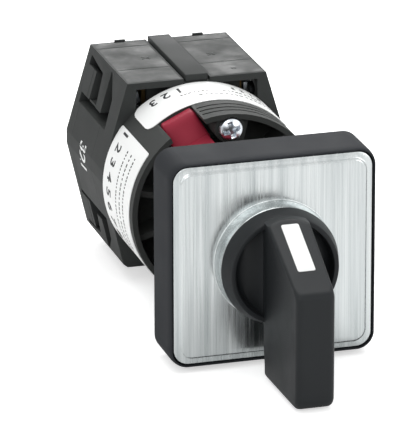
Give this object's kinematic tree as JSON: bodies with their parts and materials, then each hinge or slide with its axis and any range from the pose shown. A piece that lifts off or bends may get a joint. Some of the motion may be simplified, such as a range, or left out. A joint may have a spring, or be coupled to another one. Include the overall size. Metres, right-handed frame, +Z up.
{
  "type": "cam switch",
  "caption": "Panel-mounted rotary cam switch with a square bezel, lever grip, mounting collar with a red release latch and a two-cell contact block.",
  "frame": {"origin": "on the switch axis, in the plane where the bezel meets the panel's front face", "axes": "+Y runs back along the switch axis, +Z up with the pointer up, +X to the right seen from the front"},
  "size_m": [0.045, 0.1163, 0.0461],
  "materials": {
    "bezel_plastic": "fine moulded texture",
    "brushed_plate": "brushed upright",
    "handle_plastic": "satin moulded",
    "white_plastic": "smooth",
    "housing_plastic": "glass-filled moulded",
    "natural_plastic": "satin moulded",
    "red_plastic": "satin moulded",
    "label_white": "printed film",
    "seal_rubber": "matt",
    "shaft_steel": "turned",
    "spring_steel": "drawn",
    "zinc_steel": "zinc plated",
    "terminal_steel": "dull zinc plated",
    "contact_brass": "stamped strip with silver tips"
  },
  "bodies": {
    "root": {"bezel": "bezel_plastic", "legend_plate": "brushed_plate", "mounting_neck": "bezel_plastic", "flange_screws": "zinc_steel", "panel_gasket": "seal_rubber", "shaft_seal": "seal_rubber", "lock_washer": "zinc_steel", "ring_nut": "bezel_plastic", "mounting_collar": "housing_plastic", "upper_label": "label_white", "side_label": "label_white", "detent_spring_left": "spring_steel", "detent_spring_right": "spring_steel", "front_cell": "housing_plastic", "rear_cell": "housing_plastic", "end_cover": "housing_plastic", "top_strip": "housing_plastic", "front_contact_springs": "spring_steel", "rear_contact_springs": "spring_steel", "front_fixed_contacts": "contact_brass", "rear_fixed_contacts": "contact_brass", "front_terminal_screws": "terminal_steel", "rear_terminal_screws": "terminal_steel", "terminal_clamps": "zinc_steel", "tie_screws": "zinc_steel", "tie_nuts": "zinc_steel"},
    "operator": {"handle": "handle_plastic", "pointer_insert": "white_plastic", "grip_clip": "spring_steel", "front_shaft": "shaft_steel", "shaft_circlip": "spring_steel", "detent_wheel": "natural_plastic", "cam_shaft": "shaft_steel", "front_cam": "natural_plastic", "rear_cam": "natural_plastic"},
    "release": {"release_latch": "red_plastic"},
    "left_detent": {"detent_follower_left": "natural_plastic"},
    "right_detent": {"detent_follower_right": "natural_plastic"},
    "front_left_contact": {"front_plunger_left": "natural_plastic", "front_bridge_left": "contact_brass"},
    "front_right_contact": {"front_plunger_right": "natural_plastic", "front_bridge_right": "contact_brass"},
    "rear_left_contact": {"rear_plunger_left": "natural_plastic", "rear_bridge_left": "contact_brass"},
    "rear_right_contact": {"rear_plunger_right": "natural_plastic", "rear_bridge_right": "contact_brass"}
  },
  "joints": [
    {"name": "handle_turn", "type": "hinge", "parent": "root", "child": "operator", "pos_m": [0, 0, 0], "axis": [0, 1, 0], "continuous": true},
    {"name": "latch_press", "type": "slide", "parent": "root", "child": "release", "axis": [0.4305, 0, -0.9026], "range_m": [0, 0.0012]},
    {"name": "left_detent_slide", "type": "slide", "parent": "root", "child": "left_detent", "axis": [1, 0, 0], "range_m": [0, 0.0006]},
    {"name": "right_detent_slide", "type": "slide", "parent": "root", "child": "right_detent", "axis": [-1, 0, 0], "range_m": [0, 0.0006]},
    {"name": "front_left_contact_slide", "type": "slide", "parent": "root", "child": "front_left_contact", "axis": [1, 0, 0], "range_m": [0, 0.0012]},
    {"name": "front_right_contact_slide", "type": "slide", "parent": "root", "child": "front_right_contact", "axis": [-1, 0, 0], "range_m": [0, 0.0012]},
    {"name": "rear_left_contact_slide", "type": "slide", "parent": "root", "child": "rear_left_contact", "axis": [1, 0, 0], "range_m": [0, 0.0012]},
    {"name": "rear_right_contact_slide", "type": "slide", "parent": "root", "child": "rear_right_contact", "axis": [-1, 0, 0], "range_m": [0, 0.0012]}
  ]
}
